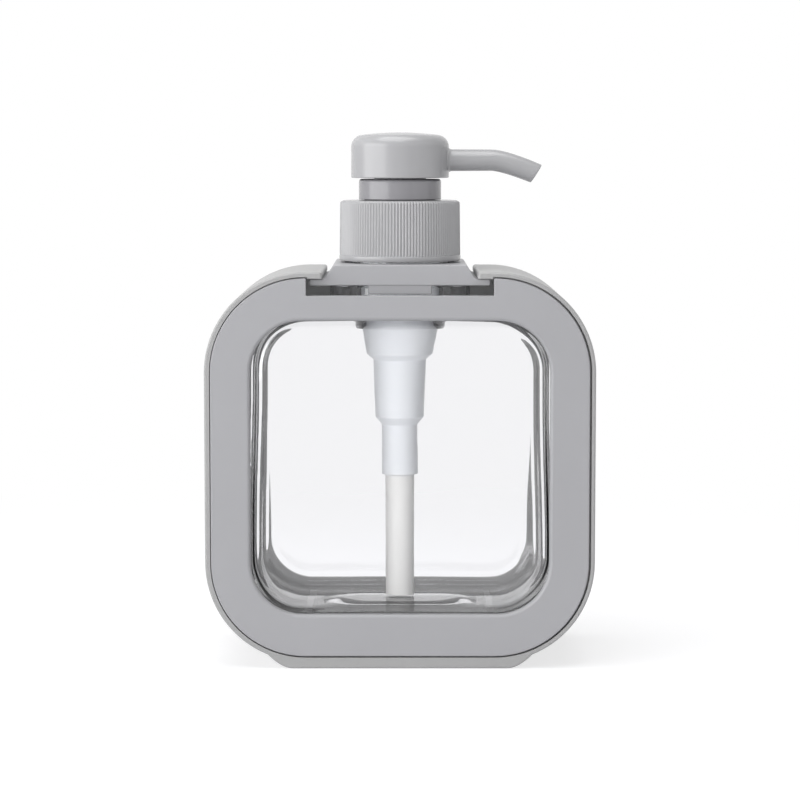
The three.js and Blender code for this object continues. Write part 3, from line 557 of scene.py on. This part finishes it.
# the body, or its hollow, from front to back; ripple puts slow waves along the rounded edges
def bottleBody(name, inset, floor, edge, ripple=0):
    across = bottle["width"] / 2 - bottle["corner"]
    low = bottle["bottom"] + floor + bottle["corner"] - inset
    high = bottle["top"] - bottle["corner"]
    centres = [(across, high), (across, low), (-across, low), (-across, high)]
    path = []
    for index, (x, z) in enumerate(centres):
        for step in range(bottle["cornerSteps"] + 1):
            path.append((x, z, 90 - 90 * index - 90 * step / bottle["cornerSteps"]))
        nextX, nextZ = centres[(index + 1) % 4]
        for step in range(1, bottle["sideSteps"]):
            share = step / bottle["sideSteps"]
            path.append((x + (nextX - x) * share, z + (nextZ - z) * share, -90 * index))
    steps = bottle["edgeSteps"]
    bends = [math.pi / 2 * step / steps for step in range(steps + 1)]
    rings = []
    for side, order in ((-1, bends), (1, bends[::-1])):
        for bend in order:
            ring = []
            for index, (x, z, degrees) in enumerate(path):
                turn = math.radians(degrees)
                around = 2 * math.pi * index / len(path)
                phase = bottle["rippleCount"] * bend
                for count, size in bottle["rippleDrift"]:
                    phase += size * math.sin(count * around)
                calm = 1 - bottle["calmEnds"] * abs(math.sin(turn))
                swell = ripple * calm * math.sin(2 * bend) * math.sin(phase)
                corner = bottle["corner"] - inset - edge + (edge + swell) * math.sin(bend)
                y = side * (bottle["halfDepth"] - inset - edge + (edge + swell) * math.cos(bend))
                ring.append((x + corner * math.cos(turn), y, z + corner * math.sin(turn)))
            rings.append(ring)
    return skinRings(name, rings)


# the low dome that pushes up the base, or the hollow under it, with slopes that ease in and out
def pushUp(name, inset, bottom):
    foot = bottle["bottom"] + bottle["floor"] - inset
    levels = [(bottom, 0)]
    for step in range(bottle["pushSteps"] + 1):
        share = step / bottle["pushSteps"]
        rise = (bottle["pushHeight"] + bottle["pushSink"]) * (0.5 - 0.5 * math.cos(math.pi * share))
        levels.append((foot - bottle["pushSink"] + rise, bottle["pushSlope"] * share))
    x, y = (half - bottle["pushCorner"] for half in bottle["pushHalf"])
    steps = bottle["cornerSteps"]
    rings = []
    for height, shrink in levels:
        corner = bottle["pushCorner"] - shrink
        ring = []
        for index, (centreX, centreY) in enumerate(((x, y), (-x, y), (-x, -y), (x, -y))):
            for step in range(steps + 1):
                turn = math.pi / 2 * (index + step / steps)
                ring.append((centreX + corner * math.cos(turn), centreY + corner * math.sin(turn), height))
        rings.append(ring)
    return skinRings(name, rings)


vessel = bottleBody("bottle", 0, 0, bottle["edge"])
neckForm = roundCorners([
    (0, bottle["bossFoot"], 0), (bottle["boss"], bottle["bossFoot"], 0),
    (bottle["boss"], bottle["bossTop"], bottle["bossRound"]),
    (bottle["neck"], bottle["bossTop"], bottle["neckRound"]),
    (bottle["neck"], bottle["neckTop"], bottle["rimRound"]), (0, bottle["neckTop"], 0),
])
combine(vessel, turned("neck", neckForm, bottle["sides"]), "UNION")
combine(vessel, threadRidge(bottle["neck"], **bottle["thread"]), "UNION")

# the hollow, less the thick root under the neck and the pushed-up base
room = bottleBody("room", bottle["wall"], bottle["floor"], bottle["innerEdge"], bottle["ripple"])
ceiling = bottle["top"] - bottle["wall"]
lip = ceiling - bottle["rootDrop"]
rootForm = [(0, lip)]
for step in range(bottle["rootSteps"] + 1):
    t = step / bottle["rootSteps"]
    rise = bottle["rootDrop"] * t ** bottle["rootCurve"]
    rootForm.append((bottle["bore"] + bottle["rootFlare"] * t, lip + rise))
rootForm += [(bottle["bore"] + bottle["rootFlare"], ceiling + overshoot), (0, ceiling + overshoot)]
combine(room, turned("root", rootForm, bottle["sides"]), "DIFFERENCE")
combine(room, pushUp("pushUp", 0, bottle["bottom"]), "DIFFERENCE")
combine(vessel, room, "DIFFERENCE")
combine(vessel, pushUp("underPush", bottle["floor"], bottle["bottom"] - overshoot), "DIFFERENCE")
bore = rod("bore", bottle["bore"], lip - 2 * overshoot, bottle["neckTop"] + 2 * overshoot, bottle["sides"])
combine(vessel, bore, "DIFFERENCE")
dress(vessel, "bottle", "frame", clear, crease=35, even=False)

# closure: a screw cap with fine upright ribs over a plain band
closure = {
    "bottom": 118.6, "top": 136.55, "bore": 16.7, "ceiling": 135, "hole": 11, "valley": 17.75, "draft": 0.2,
    "round": 0.9, "roundSteps": 6, "flatEdge": 0.3, "ribs": 120, "ribPoints": 8, "rib": 0.33, "ribShape": 0.7,
    "ribFade": 0.6,
    "ribFoot": ((-0.02, 0, 0.3), (0.1, -0.1, 0.1)),  # past the valley, added to the rib, above the band
    "band": 18.15, "bandTop": 120.3,
    "bandUpper": ((0.2, 0), (0.05, 0.1), (0, 0.3)),  # in from the band, below its top
    "bandLower": ((0, 0.3), (0.1, 0.08), (0.3, 0)),  # in from the band, above the bottom
    "thread": {"reach": -0.55, "pitch": 4, "turns": 1.3, "bottom": 122.6},
}
# each row is a radius between the ribs, the ribs' height there and its level
ribTop = closure["valley"] - closure["draft"]
rows = [(closure["hole"], 0, closure["top"]),
        (ribTop - closure["round"] - closure["flatEdge"], 0, closure["top"])]
for step in range(1, closure["roundSteps"] + 1):  # the rounded top edge, where the ribs run out
    turn = math.pi / 2 * step / closure["roundSteps"]
    shown = max(0, math.sin(turn) - closure["ribFade"]) / (1 - closure["ribFade"])
    rows.append((ribTop - closure["round"] * (1 - math.sin(turn)), closure["rib"] * shown,
                 closure["top"] - closure["round"] * (1 - math.cos(turn))))
for past, added, above in closure["ribFoot"]:
    rows.append((closure["valley"] + past, closure["rib"] + added, closure["bandTop"] + above))
for inset, below in closure["bandUpper"]:
    rows.append((closure["band"] - inset, 0, closure["bandTop"] - below))
for inset, above in closure["bandLower"]:
    rows.append((closure["band"] - inset, 0, closure["bottom"] + above))
rows += [(closure["bore"], 0, closure["bottom"]), (closure["bore"], 0, closure["ceiling"]),
         (closure["hole"], 0, closure["ceiling"])]
count = closure["ribs"] * closure["ribPoints"]
rings = []
for base, height, z in rows:
    ring = []
    for i in range(count):
        turn = 2 * math.pi * i / count
        wave = (0.5 + 0.5 * math.cos(closure["ribs"] * turn)) ** closure["ribShape"]
        radius = base + height * wave
        ring.append((radius * math.cos(turn), radius * math.sin(turn), z))
    rings.append(ring)
cap = skinRings("closure", rings, loop=True)
combine(cap, threadRidge(closure["bore"], **closure["thread"]), "UNION")
dress(cap, "closure", "closure", shiny, crease=50, even=False)

# lock collar: smooth, and darker than the rest; the darker grey is painted shade, for its recess under the
# press head
collar = {
    "corners": [  # radius, height and rounding
        (5, 131.2, 0.2), (10.5, 131.2, 0.3), (10.5, 136.8, 0.2),  # web and sleeve
        (12.3, 136.8, 0.2), (12.3, 142.9, 0.9),  # the band that shows
        (9, 142.9, 0.4), (9, 132.6, 0.3), (5, 132.6, 0.2),  # bore
    ],
    "bore": 9, "sides": 128, "thread": {"reach": -0.45, "pitch": 3, "turns": 1.4, "bottom": 135.3},
}
lockCollar = turned("lockCollar", roundCorners(collar["corners"]), collar["sides"])
combine(lockCollar, threadRidge(collar["bore"], **collar["thread"]), "UNION")
dress(lockCollar, "lock_collar", "pump_body", polished)

# press head: domed shell, open at the slot for the spout
head = {
    "bottom": 143.2, "top": 156.7, "radius": 14.6, "wall": 1.55, "crown": 0.7, "crownSteps": 10,
    "round": 3.6, "roundEnd": 82.7, "roundSteps": 14, "edgeRound": 0.35, "edgeSteps": 5, "innerEdge": 0.2,
    "post": 5, "postBottom": 151.75, "postSunk": 0.8,
    "slotHalf": 8, "slotTop": 152.1, "slotFrom": 140, "slotReach": 30, "sides": 160,
}


# points over the dome, from the axis down to where the skirt goes straight
def domePoints(radius, corner, top):
    centre = radius - corner
    shoulder = top - head["crown"] - corner
    points = []
    end = math.radians(head["roundEnd"])
    rim = centre + corner * math.cos(end)
    fall = top - shoulder - corner * math.sin(end)
    for step in range(head["crownSteps"]):
        share = step / head["crownSteps"]
        points.append((rim * share, top - fall * share ** 2))
    for step in range(head["roundSteps"] + 1):
        turn = end * (1 - step / head["roundSteps"])
        points.append((centre + corner * math.cos(turn), shoulder + corner * math.sin(turn)))
    return points


def headWalls(name):
    edge = head["edgeRound"]
    inside = head["innerEdge"]
    low = [(head["radius"], head["bottom"] + edge)]
    for step in range(1, head["edgeSteps"] + 1):
        turn = math.pi / 2 * step / head["edgeSteps"]
        low.append((head["radius"] - edge * (1 - math.cos(turn)),
                    head["bottom"] + edge * (1 - math.sin(turn))))
    bore = head["radius"] - head["wall"]
    low += [(bore + inside, head["bottom"]), (bore, head["bottom"] + inside)]
    outer = domePoints(head["radius"], head["round"], head["top"])
    inner = domePoints(bore, head["round"] - head["wall"], head["top"] - head["wall"])
    return turned(name, outer + low + inner[::-1], head["sides"])


# the head's opening for the spout, or the spout's plate in it, smaller by gap
def slotBlock(name, gap):
    half = head["slotHalf"] - gap
    return block(name, (0, -half, head["slotFrom"]), (head["slotReach"], half, head["slotTop"] - gap))


headShell = headWalls("headShell")
combine(headShell, rod("post", head["post"], head["postBottom"], head["top"] - head["postSunk"]), "UNION")
combine(headShell, slotBlock("slot", 0), "DIFFERENCE")
dress(headShell, "head_shell", "head", shiny)

# spout: hub on the stem, plate that fills the slot, and bent nozzle
spout = {
    "hub": 7.75, "hubBottom": 134.2, "hubTop": 151.55, "hubRound": 0.4, "hubCeiling": 145.85, "socket": 4.75,
    "thread": {"reach": 0.45, "pitch": 3, "turns": 1.4, "bottom": 135.7}, "passage": 1.9, "plateGap": 0.06,
    "height": 148.45, "rootRadius": 3.35, "tipRadius": 3.12, "bore": 1.9, "sides": 48,
    "fillet": 0.8, "filletFrom": 14.4, "filletLength": 1.2, "filletStep": 0.2, "filletRings": 7,
    "straightRings": (18, 21), "straight": 27, "reach": 40.75, "drop": 4.05, "bendSteps": 24,
    "tipAngle": 22.5, "cutAngle": 10, "cutFrom": 0.75, "tipRound": 0.3, "tipSteps": 4,
}


# rings along the nozzle or its bore: a fillet at the plate, a straight run, the bend, and a tip cut aslant;
# past runs the bore out of the tip
def nozzleRings(rootRadius, tipRadius, fillet, tipRound, past):
    root = spout["filletFrom"]
    straight = spout["straight"]
    reach = spout["reach"]
    drop = spout["drop"]
    along = math.radians(spout["tipAngle"])
    bendX = reach - drop / math.tan(along)
    flare = [root + spout["filletStep"] * i for i in range(1, spout["filletRings"] + 1)]
    places = []  # each is x, z, the ring's slope and what it adds to the radius
    for x in [0, root, *flare, *spout["straightRings"]]:
        away = max(0, 1 - max(0, x - root) / spout["filletLength"])
        places.append((x, spout["height"], 0, fillet * (1 - math.sqrt(1 - away ** 2))))
    for step in range(spout["bendSteps"] + 1):
        t = step / spout["bendSteps"]
        x = (1 - t) ** 2 * straight + 2 * t * (1 - t) * bendX + t * t * reach
        z = spout["height"] - drop * t * t
        slope = math.atan2(2 * t * drop, 2 * (1 - t) * (bendX - straight) + 2 * t * (reach - bendX))
        aslant = max(0, t - spout["cutFrom"]) / (1 - spout["cutFrom"])
        places.append((x, z, slope + math.radians(spout["cutAngle"]) * aslant, 0))
    x, z, slope, _ = places[-1]
    if tipRound:
        places.pop()
        for step in range(spout["tipSteps"] + 1):
            turn = math.pi / 2 * step / spout["tipSteps"]
            back = tipRound * (1 - math.sin(turn))
            shrink = tipRound * (1 - math.cos(turn))
            places.append((x - back * math.cos(along), z + back * math.sin(along), slope, -shrink))
    if past:
        places.append((x + past * math.cos(along), z - past * math.sin(along), slope, 0))
    rings = []
    for x, z, slope, added in places:
        radius = rootRadius + (tipRadius - rootRadius) * min(1, x / reach) + added
        ring = []
        for side in range(spout["sides"]):
            turn = 2 * math.pi * side / spout["sides"]
            up = radius * math.cos(turn)
            ring.append((x + up * math.sin(slope), radius * math.sin(turn), z + up * math.cos(slope)))
        rings.append(ring)
    return rings


hubForm = roundCorners([
    (0, spout["hubBottom"], 0), (spout["hub"], spout["hubBottom"], spout["hubRound"]),
    (spout["hub"], spout["hubTop"], spout["hubRound"]), (0, spout["hubTop"], 0),
])
nozzle = turned("spout", hubForm)
combine(nozzle, threadRidge(spout["hub"], **spout["thread"]), "UNION")
plate = headWalls("plate")
combine(plate, slotBlock("plateSpan", spout["plateGap"]), "INTERSECT")
combine(nozzle, plate, "UNION")
tube = nozzleRings(spout["rootRadius"], spout["tipRadius"], spout["fillet"], spout["tipRound"], 0)
combine(nozzle, skinRings("tube", tube), "UNION")
socket = rod("socket", spout["socket"], spout["hubBottom"] - overshoot, spout["hubCeiling"])
combine(nozzle, socket, "DIFFERENCE")
passage = rod("passage", spout["passage"], spout["hubCeiling"] - overshoot, spout["height"], spout["sides"])
combine(nozzle, passage, "DIFFERENCE")
nozzleBore = nozzleRings(spout["bore"], spout["bore"], 0, 0, overshoot)
combine(nozzle, skinRings("nozzleBore", nozzleBore), "DIFFERENCE")
dress(nozzle, "spout", "head", shiny)

# pump housing: stepped cup, chamber and nipple in one moulding
housing = {
    "outside": [  # radius, height and rounding, from the lower end up
        (4.55, 54.33, 0.2), (5.4, 54.33, 0.3), (5.4, 69.4, 0.6),  # nipple
        (7.3, 71.7, 0.5), (7.85, 89, 0.6),  # chamber
        (9.8, 90.6, 0.6), (11.3, 97.6, 1.5), (12.5, 133.3, 0.4),  # cup
        (14.4, 133.3, 0.2), (14.4, 134.8, 0.3),  # flange
    ],
    "inside": [  # from the flange down
        (10.7, 134.8, 0.3), (10.7, 131, 0.4), (10.2, 97.6, 1.5), (8.7, 91.7, 0.3),  # cup, to its ledge
        (6.5, 91.7, 0.4), (6.5, 72.2, 0.2),  # chamber
        (4.2, 72.2, 0.3), (4.2, 65.53, 0.3),  # the inlet ball's pocket
        (2.2, 65.53, 0.2), (2.2, 64.33, 0.2), (4.55, 64.33, 0.2),  # its seat, and the tube's socket
    ],
    "roundSteps": 5,
}
profile = roundCorners(housing["outside"] + housing["inside"], housing["roundSteps"])
dress(turned("pumpHousing", profile), "pump_housing", "pump_body", milky)

# dip tube, cut square at both ends
dipTube = {"radius": 4.3, "bore": 3.4, "bottom": 17.5, "top": 64.13, "edge": 0.12, "roundSteps": 3,
           "sides": 72}
profile = roundCorners([
    (dipTube["bore"], dipTube["bottom"], dipTube["edge"]),
    (dipTube["radius"], dipTube["bottom"], dipTube["edge"]),
    (dipTube["radius"], dipTube["top"], dipTube["edge"]),
    (dipTube["bore"], dipTube["top"], dipTube["edge"]),
], dipTube["roundSteps"])
dress(turned("dipTube", profile, dipTube["sides"]), "dip_tube", "pump_body", waxy)

# stem: hollow piston rod with the spring's seat and the outlet valve's pocket
stem = {
    "corners": [  # radius, height and rounding
        (1.9, 74.9, 0.2), (3.4, 74.9, 0.4), (3.4, 79.5, 0.2),  # spigot
        (4.5, 79.5, 0.3), (4.5, 117.7, 0.5),  # rod
        (8, 117.7, 0.3), (8, 118.9, 0.4), (4.5, 118.9, 0.5),  # the spring's seat
        (4.5, 145.65, 0.4), (3, 145.65, 0.3), (3, 141.5, 0.4), (1.9, 141.5, 0.2),  # the outlet ball's pocket
    ],
    "roundSteps": 4, "sides": 72,
}
profile = roundCorners(stem["corners"], stem["roundSteps"])
dress(turned("stem", profile, stem["sides"]), "stem", "head", milky)

# return spring, which stretches between the cup's ledge and the stem's seat
coil = {"radius": 7.4, "wire": 0.6, "bottom": 92.5, "top": 116.9, "turns": 8, "steps": 48, "sides": 12}
count = coil["turns"] * coil["steps"]
rings = []
for i in range(count + 1):
    turn = 2 * math.pi * i / coil["steps"]
    height = coil["bottom"] + (coil["top"] - coil["bottom"]) * i / count
    ring = []
    for side in range(coil["sides"]):
        roll = 2 * math.pi * side / coil["sides"]
        radius = coil["radius"] + coil["wire"] * math.cos(roll)
        z = height + coil["wire"] * math.sin(roll)
        ring.append((radius * math.cos(turn), radius * math.sin(turn), z))
    rings.append(ring)
returnSpring = skinRings("returnSpring", rings)
dress(returnSpring, "return_spring", None, steel, even=False)
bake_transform(returnSpring)

# valve balls: name, radius and height of each
valveBalls = {"inlet_ball": ("inletBall", 3.2, 68.0), "outlet_ball": ("outletBall", 2.5, 143.28)}
ballSteps = 24
ballSides = 48
for node, (name, radius, height) in valveBalls.items():
    halfCircle = [(0, height - radius)]
    for step in range(1, ballSteps):
        turn = math.pi * (step / ballSteps - 0.5)
        halfCircle.append((radius * math.cos(turn), height + radius * math.sin(turn)))
    halfCircle.append((0, height + radius))
    dress(turned(name, halfCircle, ballSides), node, node, steel, even=False)

# pieces hidden in the pump keep the solids' own shape
for node, finish in {"neck_gasket": sealing, "piston": sealing, "stem_wiper": sealing,
                     "stem_plug": milky, "ball_cage": milky}.items():
    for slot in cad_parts[node].material_slots:
        slot.material = finish
print("inner pieces finished")


# studio, in metres: white floor and surround, large softboxes on the left and above, and weaker panels in
# front and on the right; the front panel shows in no reflection and not through the bottle
studio = {
    "floorSize": 8, "floorTop": -0.00005, "floorUnder": -0.001,
    "boardColour": "#e4e4e6", "shadeColour": "#a4a4a6", "lift": 0.7, "fadeFrom": 0.12, "fadeTo": 0.4,
    "ambient": 0.2, "aim": (0, 0, 0.09),
    "softboxes": {
        "leftSoftbox": {"at": (-0.9, -0.46, 0.24), "size": (1.2, 0.9), "power": 11, "mirrored": True},
        "topSoftbox": {"at": (-0.1, -0.15, 1.09), "size": (0.9, 0.9), "power": 9, "mirrored": True},
        "frontPanel": {"at": (-0.15, -1.2, 0.25), "size": (1.2, 0.5), "power": 3.6, "mirrored": False},
        "rightPanel": {"at": (0.87, -0.5, 0.35), "size": (1.0, 0.9), "power": 1.5, "mirrored": True},
    },
}
half = studio["floorSize"] / 2 / mm
floor = block("floor", (-half, -half, studio["floorUnder"] / mm), (half, half, studio["floorTop"] / mm))


# 1 for rays that show the background to the eye, straight or through metal and glass
def seenRay(tree):
    rays = addNode(tree, "ShaderNodeLightPath")
    seen = rays.outputs["Is Camera Ray"]
    for kind in ("Is Glossy Ray", "Is Transmission Ray"):
        either = addNode(tree, "ShaderNodeMath", {0: seen, 1: rays.outputs[kind]}, operation="MAXIMUM")
        seen = either.outputs[0]
    return seen


# painted board: seen as white with a faint shadow near the object and as plain white further off
paintedBoard, tree = startMaterial("paintedBoardMatt")
place = addNode(tree, "ShaderNodeTexCoord").outputs["Object"]
away = addNode(tree, "ShaderNodeVectorMath", {0: place}, operation="LENGTH")
far = addNode(tree, "ShaderNodeMapRange",
              {"Value": away.outputs["Value"], "From Min": studio["fadeFrom"], "From Max": studio["fadeTo"]},
              interpolation_type="SMOOTHSTEP")
shade = addNode(tree, "ShaderNodeBsdfDiffuse", {"Color": hexToLinear(studio["shadeColour"])})
lift = addNode(tree, "ShaderNodeEmission", {"Color": (1, 1, 1, 1), "Strength": studio["lift"]})
near = addNode(tree, "ShaderNodeAddShader", {0: shade.outputs[0], 1: lift.outputs[0]})
white = addNode(tree, "ShaderNodeEmission", {"Color": (1, 1, 1, 1), "Strength": 1})
shown = addNode(tree, "ShaderNodeMixShader",
                {0: far.outputs["Result"], 1: near.outputs[0], 2: white.outputs[0]})
board = addNode(tree, "ShaderNodeBsdfDiffuse", {"Color": hexToLinear(studio["boardColour"])})
blend = addNode(tree, "ShaderNodeMixShader", {0: seenRay(tree), 1: board.outputs[0], 2: shown.outputs[0]})
addNode(tree, "ShaderNodeOutputMaterial", {"Surface": blend.outputs[0]})
floor.data.materials.append(paintedBoard)

world = bpy.data.worlds.new("studio")
world.use_nodes = True
world.node_tree.nodes.clear()
tree = world.node_tree
level = addNode(tree, "ShaderNodeMapRange",
                {"Value": seenRay(tree), "To Min": studio["ambient"], "To Max": 1})
sky = addNode(tree, "ShaderNodeBackground", {"Color": (1, 1, 1, 1), "Strength": level.outputs["Result"]})
addNode(tree, "ShaderNodeOutputWorld", {"Surface": sky.outputs[0]})
scene.world = world

for name, box in studio["softboxes"].items():
    lamp = bpy.data.lights.new(name, "AREA")
    lamp.shape = "RECTANGLE"
    lamp.size, lamp.size_y = box["size"]
    lamp.energy = box["power"]
    light = bpy.data.objects.new(name, lamp)
    light.location = box["at"]
    light.rotation_euler = (Vector(studio["aim"]) - light.location).to_track_quat("-Z", "Y").to_euler()
    light.visible_camera = False
    light.visible_glossy = box["mirrored"]
    light.visible_transmission = box["mirrored"]
    scene.collection.objects.link(light)
print("studio lit")
